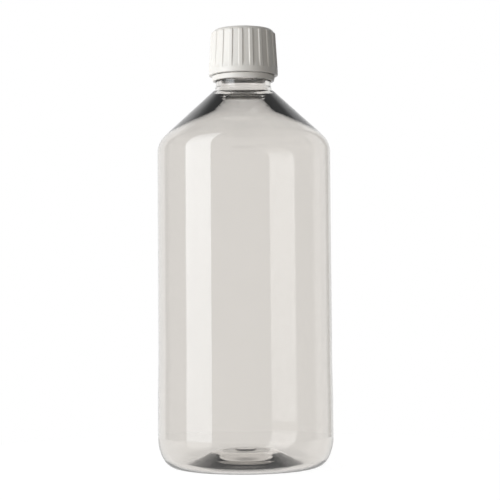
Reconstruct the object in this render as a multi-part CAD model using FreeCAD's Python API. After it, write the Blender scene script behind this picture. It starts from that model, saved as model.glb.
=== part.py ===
"""A one-litre clear PET bottle with a ribbed white screw cap and its tamper-evident ring.

Three pieces, each a solid of revolution about +Z that stands on z = 0:
  bottle       the blown shell: push-up base, heel, body, conical shoulder, thick neck and mouth
  cap          the moulded screw cap, seated on the mouth's rim, with raised grip ribs
  tamper_ring  the band under the cap, snapped below the neck's locking bead and held to the
               cap by small break-away bridges
The wall is thin in the body and thick at the neck and the foot, as a stretch-blown bottle's is.
All sizes are in millimetres.
"""

import FreeCAD
import Part
import math
import os

# ---- driving sizes: body ------------------------------------------------------------------
PANEL_RADIUS = 43.35  # the straight body, where a label would go
BAND_PROUD = 0.3  # how far the band above the heel stands out of the panel
BAND_TOP = 36.0  # height at which the band starts to fall back to the panel
BAND_FADE = 16.0  # height over which it does so
BAND_FADE_RADIUS = 60.0
SHOULDER_CORNER = 161.85  # height at which the body's and the cone's lines would meet
SHOULDER_RADIUS = 11.6  # rounding between body and cone
CONE_ANGLE = 42.6  # of the shoulder cone, in degrees from the horizontal

# ---- driving sizes: base ------------------------------------------------------------------
HEEL_UPPER_RADIUS = 21.0  # large arc that leaves the body
HEEL_LOWER_RADIUS = 8.5  # small arc that lands on the foot
HEEL_BLEND_ANGLE = 30.0  # where the two arcs meet, in degrees from the horizontal
FOOT_WIDTH = 4.1  # flat ring that the bottle stands on
PUSH_UP_HEIGHT = 5.0  # of the dome's underside over the foot
UNDER_CROWN = 13.2  # underneath, radius at which the dome's crown and flank lines would meet
INNER_CROWN = 15.5  # the same inside the bottle
PUSH_UP_ROUNDING = 12.0  # between crown and flank, on both sides
FOOT_ROUNDING = 24.0  # underneath, where the flank runs out into the foot
VALLEY_STEP = 1.1  # how far the channel round the dome, inside, lies within the foot
VALLEY_ROUNDING = 2.5
GATE_RADIUS = 5.4  # round moulding mark at the middle of the base, inside
GATE_HEIGHT = 0.5

# ---- driving sizes: neck and mouth --------------------------------------------------------
NECK_RADIUS = 13.85
NECK_ROUNDING = 3.0  # between cone and neck
NECK_SHOWN = 3.8  # from the cone's line to the tamper ring's foot
BEAD_HEIGHT = 1.1  # the locking bead, which the tamper ring's lip can't climb
BEAD_SLOPE = 1.0  # height of the bead's sloping top
FINISH_STEP = 1.15  # how much narrower the mouth's wall is than the neck
MOUTH_WALL = 1.5  # the mouth's wall, which carries the screw thread
RIM_ROUNDING = 0.5
BORE_ROUNDING = 5.0  # inside, between bore and cone

# ---- driving sizes: wall thickness --------------------------------------------------------
BODY_WALL = 0.5
FOOT_WALL = 0.9
DOME_WALL = 3.2  # at the crown, which hardly stretches
SHOULDER_WALL = 3.5  # of the cone at the neck, thinning evenly down the slope
THICK_SLOPE = 27.5  # length of that slope
THICK_ROUNDING = 100.0  # where it runs out into the thin wall

# ---- driving sizes: cap -------------------------------------------------------------------
CAP_HEIGHT = 23.0
CAP_TOP_WALL = 1.5
CAP_TOP_ROUNDING = 2.4
CAP_SKIRT_WALL = 2.95  # at its foot
CAP_LEAN = 1.25  # how much narrower the skirt is at the top than at the foot
CAP_BAND_HEIGHT = 2.7  # plain band below the ribs
THREAD_SPACE = 1.7  # between the mouth's wall and the cap's bore, where the threads engage
RIB_COUNT = 20
RIB_DEPTH = 0.5  # how far a rib stands out of the skirt
RIB_BASE_WIDTH = 2.6
RIB_CREST_WIDTH = 1.6
RIB_TOP_GAP = 1.2  # from the ribs' top to the cap's top
RIB_ROOT = 0.4  # how far a rib is carried into the skirt
CAP_TURN = -4.0  # where the cap came to a stop on its thread, in degrees about +Z

# ---- driving sizes: tamper ring -----------------------------------------------------------
RING_GAP = 0.35  # the line of weakness between cap and ring
RING_HEIGHT = 2.45
RING_TOP_WALL = 1.85
RING_FOOT_WALL = 1.25
RING_CLEARANCE = 0.25  # of the ring's bore and lip to the bottle
LIP_RISE = 1.15  # from the ring's foot to the snap lip
LIP_THICKNESS = 0.4
LIP_REACH = 0.3  # how far the lip reaches under the bead
BRIDGE_COUNT = 10
BRIDGE_WIDTH = 0.9
BRIDGE_DEPTH = 0.7

# ---- worked out: heights ------------------------------------------------------------------
CONE_SLOPE = math.tan(math.radians(CONE_ANGLE))
NECK_CORNER = SHOULDER_CORNER + (PANEL_RADIUS - NECK_RADIUS) * CONE_SLOPE
RING_FOOT = NECK_CORNER + NECK_SHOWN
RING_TOP = RING_FOOT + RING_HEIGHT
LIP_FOOT = RING_FOOT + LIP_RISE
LIP_TOP = LIP_FOOT + LIP_THICKNESS
GROOVE_FOOT = LIP_FOOT - RING_CLEARANCE
BEAD_FOOT = LIP_TOP + RING_CLEARANCE
BEAD_TOP = BEAD_FOOT + BEAD_HEIGHT
CAP_FOOT = RING_TOP + RING_GAP
CAP_TOP = CAP_FOOT + CAP_HEIGHT
RIM_HEIGHT = CAP_TOP - CAP_TOP_WALL
DOME_TOP = PUSH_UP_HEIGHT + DOME_WALL

# ---- worked out: radii --------------------------------------------------------------------
BAND_RADIUS = PANEL_RADIUS + BAND_PROUD
HEEL_BLEND = math.radians(HEEL_BLEND_ANGLE)
HEEL_RUN = HEEL_UPPER_RADIUS - (HEEL_UPPER_RADIUS - HEEL_LOWER_RADIUS) * math.cos(HEEL_BLEND)
FOOT_OUTER_RADIUS = BAND_RADIUS - HEEL_RUN
FOOT_INNER_RADIUS = FOOT_OUTER_RADIUS - FOOT_WIDTH
VALLEY_RADIUS = FOOT_INNER_RADIUS - VALLEY_STEP
LIP_RADIUS = NECK_RADIUS - LIP_REACH
GROOVE_RADIUS = LIP_RADIUS - RING_CLEARANCE
FINISH_RADIUS = NECK_RADIUS - FINISH_STEP
BORE_RADIUS = FINISH_RADIUS - MOUTH_WALL
CAP_BORE_RADIUS = FINISH_RADIUS + THREAD_SPACE
CAP_FOOT_RADIUS = CAP_BORE_RADIUS + CAP_SKIRT_WALL
CAP_TOP_RADIUS = CAP_FOOT_RADIUS - CAP_LEAN
RING_BORE_RADIUS = NECK_RADIUS + RING_CLEARANCE
RING_TOP_RADIUS = RING_BORE_RADIUS + RING_TOP_WALL
RING_FOOT_RADIUS = RING_BORE_RADIUS + RING_FOOT_WALL


# ---- drawing helpers ----------------------------------------------------------------------
def point(r, z):
    return FreeCAD.Vector(r, 0, z)


def rounded_outline(corners):
    """Edges of an open outline through (r, z, rounding) corners, each turned by a tangent arc."""
    edges = []
    pen = point(*corners[0][:2])
    for before, corner, after in zip(corners, corners[1:], corners[2:]):
        here = point(*corner[:2])
        back = (point(*before[:2]) - here).normalize()
        ahead = (point(*after[:2]) - here).normalize()
        if corner[2] > 0:
            half = back.getAngle(ahead) / 2
            reach = corner[2] / math.tan(half)
            start = here + back * reach
            end = here + ahead * reach
            bisector = (back + ahead).normalize()
            crown = here + bisector * (corner[2] / math.sin(half) - corner[2])
            add_line(edges, pen, start)
            edges.append(Part.Arc(start, crown, end).toShape())
            pen = end
        else:
            add_line(edges, pen, here)
            pen = here
    add_line(edges, pen, point(*corners[-1][:2]))
    return edges


def add_line(edges, start, end):
    """A straight edge, left out where two tangent arcs meet end to end."""
    if start.distanceToPoint(end) > 1e-5:
        edges.append(Part.LineSegment(start, end).toShape())


def revolved(edges):
    """The solid swept about +Z by a closed outline."""
    wire = Part.Wire(Part.__sortEdges__(edges))
    turned = Part.Face(wire).revolve(FreeCAD.Vector(), FreeCAD.Vector(0, 0, 1), 360)
    return Part.Solid(turned.Shells[0])


def heel_corners(radius, floor, upper, lower):
    """The two corners whose roundings make the heel: a small arc on the floor, then a large one."""
    wall_end = floor + lower + (upper - lower) * math.sin(HEEL_BLEND)
    meet_r = radius - upper + upper * math.cos(HEEL_BLEND)
    meet_z = wall_end - upper * math.sin(HEEL_BLEND)
    low = (meet_r - (meet_z - floor) * math.tan(HEEL_BLEND), floor, lower)
    high = (radius, meet_z + (radius - meet_r) / math.tan(HEEL_BLEND), upper)
    return [low, high]


def turned_about_axis(shape, angle):
    """A copy of a shape, turned about +Z by an angle in degrees."""
    copy = shape.copy()
    copy.rotate(FreeCAD.Vector(), FreeCAD.Vector(0, 0, 1), angle)
    return copy


# ---- bottle -------------------------------------------------------------------------------
def foot_corner():
    """Radius of the underside's corner at the foot, and the rounding it has room for.

    The rounding runs out just where the flat foot begins, which shifts the corner and so
    tilts the flank: rounds of correction settle both. On a short flank the rounding shrinks.
    """
    for share in range(100, 0, -2):
        rounding = FOOT_ROUNDING * share / 100
        corner = FOOT_INNER_RADIUS
        for _ in range(40):
            run = max(corner - UNDER_CROWN, 0.1)
            half_angle = math.atan2(PUSH_UP_HEIGHT, run) / 2
            corner = FOOT_INNER_RADIUS - rounding * math.tan(half_angle)
        flank = math.hypot(PUSH_UP_HEIGHT, corner - UNDER_CROWN)
        taken = (rounding + PUSH_UP_ROUNDING) * math.tan(half_angle)
        if corner > UNDER_CROWN and flank > taken:
            break
    return corner, rounding


def bottle_outside():
    """From the axis under the base, out along the foot and up to the rim."""
    corner, rounding = foot_corner()
    return rounded_outline(
        [
            (0, PUSH_UP_HEIGHT, 0),
            (UNDER_CROWN, PUSH_UP_HEIGHT, PUSH_UP_ROUNDING),
            (corner, 0, rounding),
            *heel_corners(BAND_RADIUS, 0, HEEL_UPPER_RADIUS, HEEL_LOWER_RADIUS),
            (BAND_RADIUS, BAND_TOP, BAND_FADE_RADIUS),
            (PANEL_RADIUS, BAND_TOP + BAND_FADE, BAND_FADE_RADIUS),
            (PANEL_RADIUS, SHOULDER_CORNER, SHOULDER_RADIUS),
            (NECK_RADIUS, NECK_CORNER, NECK_ROUNDING),
            (NECK_RADIUS, GROOVE_FOOT, 0),
            (GROOVE_RADIUS, GROOVE_FOOT, 0),
            (GROOVE_RADIUS, BEAD_FOOT, 0),
            (NECK_RADIUS, BEAD_FOOT, 0),
            (NECK_RADIUS, BEAD_TOP, 0),
            (FINISH_RADIUS, BEAD_TOP + BEAD_SLOPE, 0),
            (FINISH_RADIUS, RIM_HEIGHT, RIM_ROUNDING),
            (BORE_RADIUS, RIM_HEIGHT, 0),
        ]
    )


def cone_height(radius):
    """Height of the outer cone's line at a radius."""
    return NECK_CORNER - (radius - NECK_RADIUS) * CONE_SLOPE


def bottle_inside():
    """From the rim down the bore, along the thinning shoulder and the body to the base's dome."""
    lean = math.radians(CONE_ANGLE)

    def inward(radius, wall):
        """A point under the outer cone, at that depth square to it."""
        return (radius - wall * math.sin(lean), cone_height(radius) - wall * math.cos(lean))

    top_r, top_z = inward(NECK_RADIUS, SHOULDER_WALL)
    low_r, low_z = inward(NECK_RADIUS + THICK_SLOPE * math.cos(lean), BODY_WALL)
    slope = (top_z - low_z) / (top_r - low_r)
    bore_corner = top_z + (BORE_RADIUS - top_r) * slope
    inner_panel = PANEL_RADIUS - BODY_WALL
    inner_band = BAND_RADIUS - BODY_WALL
    cone_meets_panel = cone_height(inner_panel) - BODY_WALL / math.cos(lean)
    low, high = heel_corners(
        inner_band,
        FOOT_WALL,
        HEEL_UPPER_RADIUS - BODY_WALL,
        HEEL_LOWER_RADIUS - BODY_WALL,
    )
    return rounded_outline(
        [
            (BORE_RADIUS, RIM_HEIGHT, 0),
            (BORE_RADIUS, bore_corner, BORE_ROUNDING),
            (low_r, low_z, THICK_ROUNDING),
            (inner_panel, cone_meets_panel, SHOULDER_RADIUS - BODY_WALL),
            (inner_panel, BAND_TOP + BAND_FADE, BAND_FADE_RADIUS),
            (inner_band, BAND_TOP, BAND_FADE_RADIUS),
            high,
            low,
            (VALLEY_RADIUS, FOOT_WALL, VALLEY_ROUNDING),
            (INNER_CROWN, DOME_TOP, PUSH_UP_ROUNDING),
            (GATE_RADIUS, DOME_TOP, 0),
            (GATE_RADIUS - GATE_HEIGHT, DOME_TOP + GATE_HEIGHT, 0),
            (0, DOME_TOP + GATE_HEIGHT, 0),
        ]
    )


def bottle():
    edges = bottle_outside() + bottle_inside()
    add_line(edges, point(0, DOME_TOP + GATE_HEIGHT), point(0, PUSH_UP_HEIGHT))
    return revolved(edges)


# ---- cap ----------------------------------------------------------------------------------
def skirt_radius(height):
    """Outside of the skirt between the ribs, leaning in towards the top."""
    top = CAP_TOP - CAP_TOP_ROUNDING
    share = (height - CAP_FOOT) / (top - CAP_FOOT)
    foot = CAP_FOOT_RADIUS - RIB_DEPTH
    return foot + (CAP_TOP_RADIUS - RIB_DEPTH - foot) * share


def cap_shell():
    band_top = CAP_FOOT + CAP_BAND_HEIGHT
    edges = rounded_outline(
        [
            (0, RIM_HEIGHT, 0),
            (CAP_BORE_RADIUS, RIM_HEIGHT, 0),
            (CAP_BORE_RADIUS, CAP_FOOT, 0),
            (CAP_FOOT_RADIUS, CAP_FOOT, 0),
            (CAP_FOOT_RADIUS, band_top, 0),
            (skirt_radius(band_top + RIB_DEPTH), band_top + RIB_DEPTH, 0),
            (skirt_radius(CAP_TOP), CAP_TOP, CAP_TOP_ROUNDING),
            (0, CAP_TOP, 0),
        ]
    )
    add_line(edges, point(0, CAP_TOP), point(0, RIM_HEIGHT))
    return revolved(edges)


def rib():
    """One grip rib: a trapezium lofted up the leaning skirt, its ends sunk into the skirt."""

    def section(height):
        root = skirt_radius(height) - RIB_ROOT
        crest = skirt_radius(height) + RIB_DEPTH
        corners = [
            FreeCAD.Vector(root, -RIB_BASE_WIDTH / 2, height),
            FreeCAD.Vector(crest, -RIB_CREST_WIDTH / 2, height),
            FreeCAD.Vector(crest, RIB_CREST_WIDTH / 2, height),
            FreeCAD.Vector(root, RIB_BASE_WIDTH / 2, height),
        ]
        return Part.makePolygon(corners + corners[:1])

    foot = CAP_FOOT + CAP_BAND_HEIGHT - RIB_DEPTH
    return Part.makeLoft([section(foot), section(CAP_TOP)], True)


def rib_envelope():
    """The cap's outer form as if the ribs ran all round, which rounds the ribs over at the top."""
    top = CAP_TOP - RIB_TOP_GAP
    edges = rounded_outline(
        [
            (0, CAP_FOOT, 0),
            (CAP_FOOT_RADIUS, CAP_FOOT, 0),
            (skirt_radius(top) + RIB_DEPTH, top, CAP_TOP_ROUNDING),
            (0, top, 0),
        ]
    )
    add_line(edges, point(0, top), point(0, CAP_FOOT))
    return revolved(edges)


def cap():
    one = rib().common(rib_envelope())
    step = 360 / RIB_COUNT
    ribs = [turned_about_axis(one, CAP_TURN + index * step) for index in range(RIB_COUNT)]
    return cap_shell().fuse(ribs).removeSplitter()


# ---- tamper ring --------------------------------------------------------------------------
def ring_band():
    return revolved(
        rounded_outline(
            [
                (RING_BORE_RADIUS, RING_FOOT, 0),
                (RING_FOOT_RADIUS, RING_FOOT, 0),
                (RING_TOP_RADIUS, RING_TOP, 0),
                (RING_BORE_RADIUS, RING_TOP, 0),
                (RING_BORE_RADIUS, LIP_TOP, 0),
                (LIP_RADIUS, LIP_TOP, 0),
                (LIP_RADIUS, LIP_FOOT, 0),
                (RING_BORE_RADIUS, LIP_FOOT, 0),
                (RING_BORE_RADIUS, RING_FOOT, 0),
            ]
        )
    )


def bridge():
    """One break-away bridge: it spans the gap to the cap and is carried as far into the ring."""
    middle = (RING_TOP_RADIUS + RING_BORE_RADIUS) / 2
    corner = FreeCAD.Vector(middle - BRIDGE_DEPTH / 2, -BRIDGE_WIDTH / 2, RING_TOP - RING_GAP)
    return Part.makeBox(BRIDGE_DEPTH, BRIDGE_WIDTH, 2 * RING_GAP, corner)


def tamper_ring():
    step = 360 / BRIDGE_COUNT
    bridges = [turned_about_axis(bridge(), CAP_TURN + index * step) for index in range(BRIDGE_COUNT)]
    return ring_band().fuse(bridges).removeSplitter()


# ---- output -------------------------------------------------------------------------------
def main():
    os.makedirs("parts", exist_ok=True)
    for name, build in (("bottle", bottle), ("cap", cap), ("tamper_ring", tamper_ring)):
        shape = build()
        shape.exportStep(f"parts/{name}.step")
        print(name, shape.isValid(), len(shape.Solids), f"{shape.Volume / 1000:.2f} ml", shape.BoundBox)


main()
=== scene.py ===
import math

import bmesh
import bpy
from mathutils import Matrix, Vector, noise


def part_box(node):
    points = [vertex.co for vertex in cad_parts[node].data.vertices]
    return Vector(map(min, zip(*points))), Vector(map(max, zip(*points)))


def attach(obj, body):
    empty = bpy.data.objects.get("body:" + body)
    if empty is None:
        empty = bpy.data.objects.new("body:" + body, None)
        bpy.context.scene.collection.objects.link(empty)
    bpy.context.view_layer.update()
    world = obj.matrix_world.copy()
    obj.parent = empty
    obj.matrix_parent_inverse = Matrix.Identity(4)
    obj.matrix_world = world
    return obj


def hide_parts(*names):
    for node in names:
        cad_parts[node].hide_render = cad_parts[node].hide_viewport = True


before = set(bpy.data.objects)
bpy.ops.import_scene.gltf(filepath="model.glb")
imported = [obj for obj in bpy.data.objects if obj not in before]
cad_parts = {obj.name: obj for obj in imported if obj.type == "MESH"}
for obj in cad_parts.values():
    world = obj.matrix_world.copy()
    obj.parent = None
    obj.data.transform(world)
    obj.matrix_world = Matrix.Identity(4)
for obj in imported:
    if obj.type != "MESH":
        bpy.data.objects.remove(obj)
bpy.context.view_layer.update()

# %% [markdown]
# # A clear PET bottle with a ribbed screw cap
#
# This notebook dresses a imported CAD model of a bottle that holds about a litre. The model already
# says how big each piece is and where it sits. What is left is what the eye reads as *plastic*: a
# clear wall that is thin in the body and thick at the neck, a white cap with soft ribs, and a light
# tent that shows both. The model's boxes are read first, because nothing made here may leave them.

MM = 0.001
high_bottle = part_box("bottle")[1]
low_cap, high_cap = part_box("cap")
low_ring, high_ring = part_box("tamper_ring")

# %% [markdown]
# ## Body and shoulder
#
# The body is a straight panel with a slightly wider band at its foot, which takes the knocks when
# bottles stand side by side. A cone closes it towards the neck. A subdivided cylinder could make
# this, but a blown bottle is a solid of revolution, so half a section says everything. Its largest
# radius comes from the frame, and the rest are the maker's sizes.

# %% Sizes of body and shoulder
BAND_RADIUS = high_bottle[0]
BAND_PROUD = 0.3 * MM
PANEL_RADIUS = BAND_RADIUS - BAND_PROUD
BAND_TOP = 36.0 * MM
BAND_FADE = 16.0 * MM
BAND_FADE_RADIUS = 60.0 * MM
SHOULDER_RADIUS = 11.6 * MM
SHOULDER_CORNER = 161.85 * MM
CONE_LEAN = math.radians(42.6)
CONE_SLOPE = math.tan(CONE_LEAN)
print("body is", round(2 * BAND_RADIUS / MM, 1), "mm across")

# %% [markdown]
# ## Heel and base
#
# The heel is the wall's turn to the floor. One arc would look like a turned part: the real heel is
# tight below and tall above, so it gets two arcs that touch tangentially. Inside the foot ring the
# base is pushed up like a bell. The push-up keeps the middle off the floor and makes it stiff, and
# it runs out into the foot in one long curve. The gate is the small lump that the moulded tube
# leaves in the very middle.

# %% Sizes of heel and base
HEEL_UPPER = 21.0 * MM
HEEL_LOWER = 8.5 * MM
HEEL_BLEND = math.radians(30.0)
FOOT_WIDTH = 4.1 * MM
PUSH_UP_HEIGHT = 5.0 * MM
UNDER_CROWN = 13.2 * MM
INNER_CROWN = 15.5 * MM
PUSH_UP_ROUNDING = 12.0 * MM
UNDER_ROUNDING = 31.0 * MM
FOOT_ROUNDING = 24.0 * MM
VALLEY_STEP = 1.1 * MM
VALLEY_ROUNDING = 2.5 * MM
GATE_RADIUS = 5.4 * MM
GATE_HEIGHT = 0.5 * MM
GATE_ROUNDING = 0.4 * MM

HEEL_RUN = HEEL_UPPER - (HEEL_UPPER - HEEL_LOWER) * math.cos(HEEL_BLEND)
FOOT_OUTER = BAND_RADIUS - HEEL_RUN
FOOT_INNER = FOOT_OUTER - FOOT_WIDTH
print("foot ring from", round(FOOT_INNER / MM, 1), "to", round(FOOT_OUTER / MM, 1), "mm radius")

# %% [markdown]
# ## Neck and mouth
#
# The mouth is moulded before the bottle is blown, so it is crisp. Above the cone comes a short plain
# neck, then a groove that holds the tamper ring's lip, a bead that the lip snaps under, and the
# mouth that carries the thread. The heights hang on the ring's foot, which the frame gives.

# %% Sizes of neck and mouth
NECK_RADIUS = 13.85 * MM
NECK_ROUNDING = 3.0 * MM
FINISH_RADIUS = 12.7 * MM
FINISH_EASE = 0.3 * MM
BORE_RADIUS = 11.2 * MM
BORE_ROUNDING = 5.0 * MM
RING_TO_GROOVE = 0.9 * MM
GROOVE_RADIUS = 13.3 * MM
GROOVE_HEIGHT = 0.9 * MM
GROOVE_EASE = 0.15 * MM
GROOVE_ROOT_EASE = 0.1 * MM
BEAD_HEIGHT = 1.1 * MM
BEAD_SLOPE = 1.0 * MM
BEAD_EASE = 0.2 * MM
RIM_EASE = 0.5 * MM
RIM_TO_JOIN = 5.0 * MM

RIM_HEIGHT = high_bottle[2]
JOIN_HEIGHT = RIM_HEIGHT - RIM_TO_JOIN
RING_FOOT = low_ring[2]
GROOVE_FOOT = RING_FOOT + RING_TO_GROOVE
BEAD_FOOT = GROOVE_FOOT + GROOVE_HEIGHT
BEAD_TOP = BEAD_FOOT + BEAD_HEIGHT
NECK_CORNER = SHOULDER_CORNER + (PANEL_RADIUS - NECK_RADIUS) * CONE_SLOPE
print("neck root at", round(NECK_CORNER / MM, 1), "mm, rim at", round(RIM_HEIGHT / MM, 1), "mm")

# %% [markdown]
# ## The wall
#
# A bottle like this starts as a moulded tube that is heated, stretched and blown. What stretches
# most ends thinnest: the body is half a millimetre, while the top of the shoulder and the middle
# of the base hardly stretch and stay thick. A Solidify modifier gives one thickness everywhere, so
# the inner skin is drawn as a section of its own.

# %% Sizes of the wall
BODY_WALL = 0.5 * MM
FOOT_WALL = 0.9 * MM
DOME_WALL = 3.2 * MM
SHOULDER_WALL = 3.5 * MM
THICK_SLOPE = 27.5 * MM
THICK_ROUNDING = 100.0 * MM
DOME_TOP = PUSH_UP_HEIGHT + DOME_WALL
print("wall from", round(BODY_WALL / MM, 1), "to", round(SHOULDER_WALL / MM, 1), "mm")

# %% [markdown]
# ## Drawing a section
#
# Each corner of a section carries the radius that rounds it. The helper walks along the corners and
# puts a true arc at each, stepped finely enough that light bends through it without facets. A
# Bezier curve could be rounded too, but its arcs are only nearly round, and a lens shows that. Long
# straight stretches are stepped as well, because the wall's slight waviness needs points to move.

# %% Helpers that draw a section
ARC_STEP = math.radians(2.5)
LINE_STEP = 2.5 * MM
SHORTEST_LINE = 1e-7


def step_line(points, start, end):
    """Adds points from start to end, leaving start itself out."""
    length = (end - start).length
    if length < SHORTEST_LINE:
        return
    count = max(1, round(length / LINE_STEP))
    points.extend(start.lerp(end, k / count) for k in range(1, count + 1))


def rounded_section(corners):
    """Points (r, z) of an open line through (r, z, rounding) corners with tangent arcs."""
    points = [Vector(corners[0][:2])]
    for before, corner, after in zip(corners, corners[1:], corners[2:]):
        here = Vector(corner[:2])
        back = (Vector(before[:2]) - here).normalized()
        ahead = (Vector(after[:2]) - here).normalized()
        rounding = corner[2]
        if rounding == 0:
            step_line(points, points[-1], here)
            continue
        half = back.angle(ahead) / 2
        start = here + back * (rounding / math.tan(half))
        centre = here + (back + ahead).normalized() * (rounding / math.sin(half))
        step_line(points, points[-1], start)
        spoke = start - centre
        turn = (math.pi - 2 * half) * (1 if spoke.cross(-back) > 0 else -1)
        count = max(2, math.ceil(abs(turn) / ARC_STEP))
        for k in range(1, count + 1):
            angle = turn * k / count
            c, s = math.cos(angle), math.sin(angle)
            points.append(centre + Vector((spoke.x * c - spoke.y * s, spoke.x * s + spoke.y * c)))
    step_line(points, points[-1], Vector(corners[-1][:2]))
    return points


print("arcs are stepped every", round(math.degrees(ARC_STEP), 1), "degrees")

# %% [markdown]
# ## The heel's two corners
#
# Two arcs of different radius meet smoothly when their centres and the meeting point lie on one
# line. Both skins of the wall need such a heel, the inner one with each radius less by the wall, so
# a function works out the two corners from the radii.

# %% The helper for a heel


def heel_corners(radius, floor_height, upper, lower):
    """The two corners whose arcs make the heel: a small one on the floor, then a large one."""
    wall_end = floor_height + lower + (upper - lower) * math.sin(HEEL_BLEND)
    meet_r = radius - upper + upper * math.cos(HEEL_BLEND)
    meet_z = wall_end - upper * math.sin(HEEL_BLEND)
    low = (meet_r - (meet_z - floor_height) * math.tan(HEEL_BLEND), floor_height, lower)
    high = (radius, meet_z + (radius - meet_r) / math.tan(HEEL_BLEND), upper)
    return [low, high]


outer_heel = heel_corners(BAND_RADIUS, 0, HEEL_UPPER, HEEL_LOWER)
inner_heel = heel_corners(
    BAND_RADIUS - BODY_WALL, FOOT_WALL, HEEL_UPPER - BODY_WALL, HEEL_LOWER - BODY_WALL)
print("heel corners (mm):", [(round(r / MM, 1), round(z / MM, 1)) for r, z, _ in outer_heel])

# %% [markdown]
# ## Turning a section into a mesh
#
# Blender's Screw modifier would turn a section too. Here the rings are written straight into the
# mesh, because each point can then be nudged on its way in: that gives the wall its waviness and
# the cap its ribs without a second pass. A ring whose radius is zero is one point, so the poles
# close with triangles and the mesh stays watertight.

# %% Helpers that make a mesh and a piece
SMOOTH_LIMIT = math.radians(32)
ON_AXIS = 1e-9


def finished_mesh(name, vertices, faces):
    """A mesh whose faces look outwards, shaded smooth except over its sharp edges."""
    mesh = bpy.data.meshes.new(name)
    mesh.from_pydata(vertices, [], faces)
    bm = bmesh.new()
    bm.from_mesh(mesh)
    bmesh.ops.recalc_face_normals(bm, faces=bm.faces)
    bm.to_mesh(mesh)
    bm.free()
    mesh.shade_smooth()
    mesh.set_sharp_from_angle(angle=SMOOTH_LIMIT)
    return mesh


def turned_mesh(name, section, segments, nudge=None, ring_shape=False):
    """A closed mesh: the section swept about +Z. nudge(r, z, angle, index) gives a new (r, z)."""
    vertices = []
    rings = []
    for index, (r, z) in enumerate(section):
        if r < ON_AXIS:
            rings.append([len(vertices)])
            vertices.append((0.0, 0.0, z))
            continue
        ring = []
        for k in range(segments):
            angle = math.tau * k / segments
            nr, nz = nudge(r, z, angle, index) if nudge else (r, z)
            ring.append(len(vertices))
            vertices.append((nr * math.cos(angle), nr * math.sin(angle), nz))
        rings.append(ring)
    pairs = list(zip(rings, rings[1:]))
    if ring_shape:
        pairs.append((rings[-1], rings[0]))
    faces = []
    for a, b in pairs:
        for k in range(segments):
            n = (k + 1) % segments
            if len(a) == 1:
                faces.append((a[0], b[n], b[k]))
            elif len(b) == 1:
                faces.append((a[k], a[n], b[0]))
            else:
                faces.append((a[k], a[n], b[n], b[k]))
    return finished_mesh(name, vertices, faces)


def add_piece(name, mesh, slot, *nodes):
    """Puts a mesh in the scene as a piece of the bottle's one body."""
    piece = bpy.data.objects.new(name, mesh)
    bpy.context.scene.collection.objects.link(piece)
    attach(piece, "root")
    if nodes:
        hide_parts(*nodes)
    print(name, "has", len(mesh.polygons), "faces")
    return piece


print("edges sharper than", round(math.degrees(SMOOTH_LIMIT)), "degrees stay sharp")

# %% [markdown]
# ## The outer skin
#
# The outer skin is what the mould shapes, from the middle of the base round the heel and up to the
# rim. The push-up's curve has to end just where the flat foot begins. How far a rounding reaches
# depends on the slope it rounds, and here the slope depends on the corner too, so the corner is
# found by a few rounds of correction instead of a formula.

# %% The outside of the shell
FOOT_CORNER_ROUNDS = 40

foot_corner = FOOT_INNER
for _ in range(FOOT_CORNER_ROUNDS):
    flank_angle = math.atan2(PUSH_UP_HEIGHT, foot_corner - UNDER_CROWN)
    foot_corner = FOOT_INNER - FOOT_ROUNDING * math.tan(flank_angle / 2)
outside = rounded_section([
    (0, PUSH_UP_HEIGHT, 0),
    (UNDER_CROWN, PUSH_UP_HEIGHT, UNDER_ROUNDING),
    (foot_corner, 0, FOOT_ROUNDING),
    *outer_heel,
    (BAND_RADIUS, BAND_TOP, BAND_FADE_RADIUS),
    (PANEL_RADIUS, BAND_TOP + BAND_FADE, BAND_FADE_RADIUS),
    (PANEL_RADIUS, SHOULDER_CORNER, SHOULDER_RADIUS),
    (NECK_RADIUS, NECK_CORNER, NECK_ROUNDING),
    (NECK_RADIUS, GROOVE_FOOT, GROOVE_EASE),
    (GROOVE_RADIUS, GROOVE_FOOT, GROOVE_ROOT_EASE),
    (GROOVE_RADIUS, BEAD_FOOT, GROOVE_ROOT_EASE),
    (NECK_RADIUS, BEAD_FOOT, GROOVE_EASE),
    (NECK_RADIUS, BEAD_TOP, BEAD_EASE),
    (FINISH_RADIUS, BEAD_TOP + BEAD_SLOPE, FINISH_EASE),
    (FINISH_RADIUS, RIM_HEIGHT, RIM_EASE),
    (BORE_RADIUS, RIM_HEIGHT, FINISH_EASE),
    (BORE_RADIUS, JOIN_HEIGHT, 0),
])
print("outside:", len(outside), "points, push-up meets the floor line at",
      round(foot_corner / MM, 1), "mm")

# %% [markdown]
# ## The inner skin
#
# Nothing touches the inner skin while the bottle is blown, so it only loosely follows the outer
# one. Down the cone it runs at a slope of its own, from the thick root of the neck to the thin
# body. Light shows exactly this: the thick shoulder turns dark at its sides, the thin body only
# greys. So the mesh has a real inner skin and isn't just a see-through surface.

# %% The inside of the shell


def cone_height(radius):
    """Height of the outer cone's line at a radius."""
    return NECK_CORNER - (radius - NECK_RADIUS) * CONE_SLOPE


def under_cone(radius, wall):
    """A point below the outer cone, at that depth square to it."""
    return (radius - wall * math.sin(CONE_LEAN), cone_height(radius) - wall * math.cos(CONE_LEAN))


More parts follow.
